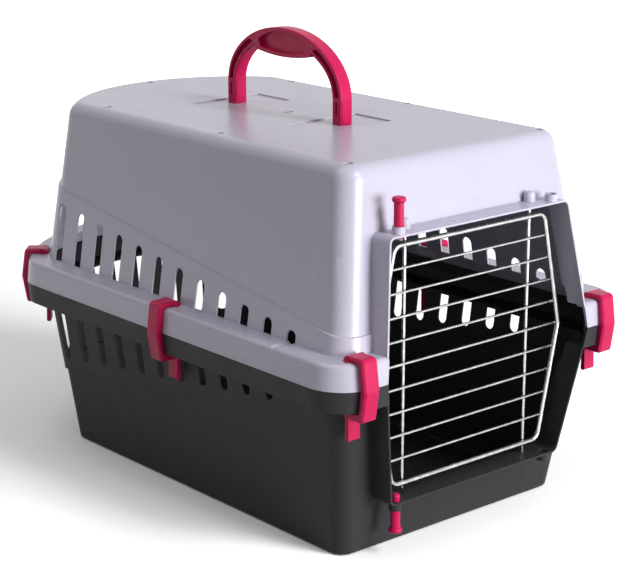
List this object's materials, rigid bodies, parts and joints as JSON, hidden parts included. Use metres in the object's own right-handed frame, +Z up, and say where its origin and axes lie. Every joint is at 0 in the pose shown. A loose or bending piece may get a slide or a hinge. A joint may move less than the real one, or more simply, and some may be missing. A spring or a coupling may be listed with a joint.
{
  "type": "bird travel carrier",
  "caption": "Two-shell plastic pet and bird carrier with a hinged wire door, latch pins, belt clips, side vents and an arched handle.",
  "frame": {"origin": "on the floor plane, in the left-right middle plane, halfway along the belt from its front to the crown of its rear bow", "axes": "+Z up; -Y towards the wire door; +X to the hinge side of the door"},
  "size_m": [0.3276, 0.5057, 0.3743],
  "materials": {
    "shell_light": "light cool grey polypropylene, semi-gloss",
    "shell_dark": "anthracite polypropylene, satin",
    "accent": "crimson plastic, glossy",
    "wire": "bright zinc-plated steel wire"
  },
  "bodies": {
    "shell": {"base_shell": "shell_dark", "top_shell": "shell_light", "handle": "accent"},
    "door": {"door_outer_wire": "wire", "door_hinge_upright": "wire", "door_free_upright": "wire", "door_bar_1": "wire", "door_bar_2": "wire", "door_bar_3": "wire", "door_bar_4": "wire", "door_bar_5": "wire", "door_bar_6": "wire", "door_bar_7": "wire", "door_bar_8": "wire", "door_bar_9": "wire"},
    "clip_front_left": {"clip_front_left": "accent"},
    "clip_front_right": {"clip_front_right": "accent"},
    "clip_side_left": {"clip_side_left": "accent"},
    "clip_side_right": {"clip_side_right": "accent"},
    "clip_rear_left": {"clip_rear_left": "accent"},
    "clip_rear_right": {"clip_rear_right": "accent"},
    "latch_pin_upper": {"latch_pin_upper": "accent"},
    "latch_pin_lower": {"latch_pin_lower": "accent"}
  },
  "joints": [
    {"name": "door_hinge", "type": "hinge", "parent": "shell", "child": "door", "pos_m": [0.0672, -0.221, 0.1485], "axis": [0, 0, 1], "range_deg": [0, 120]},
    {"name": "clip_front_left_pivot", "type": "hinge", "parent": "shell", "child": "clip_front_left", "pos_m": [-0.1294, -0.2365, 0.1679], "axis": [-1, 0, 0], "range_deg": [0, 75]},
    {"name": "clip_front_right_pivot", "type": "hinge", "parent": "shell", "child": "clip_front_right", "pos_m": [0.1294, -0.2365, 0.1679], "axis": [-1, 0, 0], "range_deg": [0, 75]},
    {"name": "clip_side_left_pivot", "type": "hinge", "parent": "shell", "child": "clip_side_left", "pos_m": [-0.1445, -0.032, 0.1679], "axis": [0, 1, 0], "range_deg": [0, 75]},
    {"name": "clip_side_right_pivot", "type": "hinge", "parent": "shell", "child": "clip_side_right", "pos_m": [0.1445, -0.032, 0.1679], "axis": [0, -1, 0], "range_deg": [0, 75]},
    {"name": "clip_rear_left_pivot", "type": "hinge", "parent": "shell", "child": "clip_rear_left", "pos_m": [-0.12921, 0.17625, 0.1679], "axis": [0.6428, 0.766, 0], "range_deg": [0, 75]},
    {"name": "clip_rear_right_pivot", "type": "hinge", "parent": "shell", "child": "clip_rear_right", "pos_m": [0.12921, 0.17625, 0.1679], "axis": [0.6428, -0.766, 0], "range_deg": [0, 75]},
    {"name": "latch_pin_upper_slide", "type": "slide", "parent": "shell", "child": "latch_pin_upper", "axis": [0, 0, -1], "range_m": [0, 0.0175]},
    {"name": "latch_pin_lower_slide", "type": "slide", "parent": "shell", "child": "latch_pin_lower", "axis": [0, 0, 1], "range_m": [0, 0.0141]}
  ]
}
